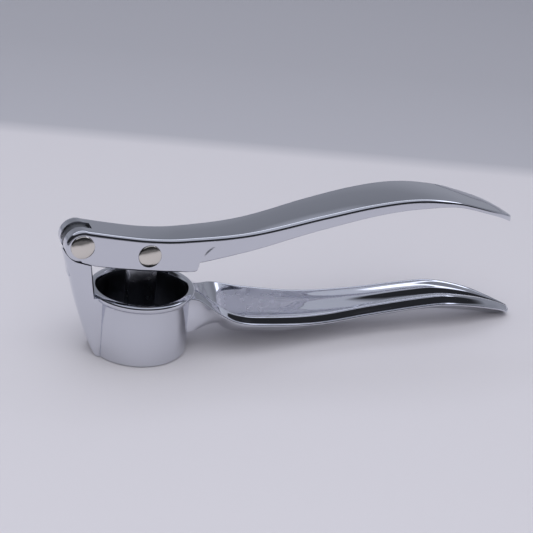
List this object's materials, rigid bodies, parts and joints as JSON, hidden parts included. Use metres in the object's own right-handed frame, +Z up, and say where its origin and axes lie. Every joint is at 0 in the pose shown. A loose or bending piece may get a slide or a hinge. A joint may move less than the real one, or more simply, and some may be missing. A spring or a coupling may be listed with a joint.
{
  "type": "garlic press",
  "caption": "Garlic press with cast chrome handles: round cup on the lower one, arched channel lever above, hinged plunger and perforated plate.",
  "frame": {"origin": "centre of the overall bounding box in plan, on the table under the cup's foot", "axes": "+X from the hinge along the handles to their tips, +Y across the handles, +Z up"},
  "size_m": [0.1754, 0.0352, 0.0532],
  "materials": {
    "chrome_casting": "bright polished chrome plate on die-cast metal, faintly blue",
    "chrome_plunger": "chrome plate, less polished than the handles",
    "nickel_rivet": "bright nickel plate, slightly warm",
    "strainer_steel": "satin stamped stainless steel"
  },
  "bodies": {
    "lower": {"lower_handle": "chrome_casting", "strainer_plate": "strainer_steel"},
    "upper": {"upper_handle": "chrome_casting", "hinge_rivet_pin": "nickel_rivet", "hinge_rivet_sleeve": "nickel_rivet", "plunger_rivet_pin": "nickel_rivet", "plunger_rivet_sleeve": "nickel_rivet"},
    "plunger": {"plunger": "chrome_plunger"}
  },
  "joints": [
    {"name": "handle_hinge", "type": "hinge", "parent": "lower", "child": "upper", "pos_m": [-0.0824, 0, 0.04], "axis": [0, -1, 0], "range_deg": [0, 60]},
    {"name": "plunger_pivot", "type": "hinge", "parent": "upper", "child": "plunger", "pos_m": [-0.0603, 0, 0.0356], "axis": [0, -1, 0], "range_deg": [-51, 0]}
  ],
  "couplings": [
    {"joint": "plunger_pivot", "follows": "handle_hinge", "ratio": -0.85}
  ]
}
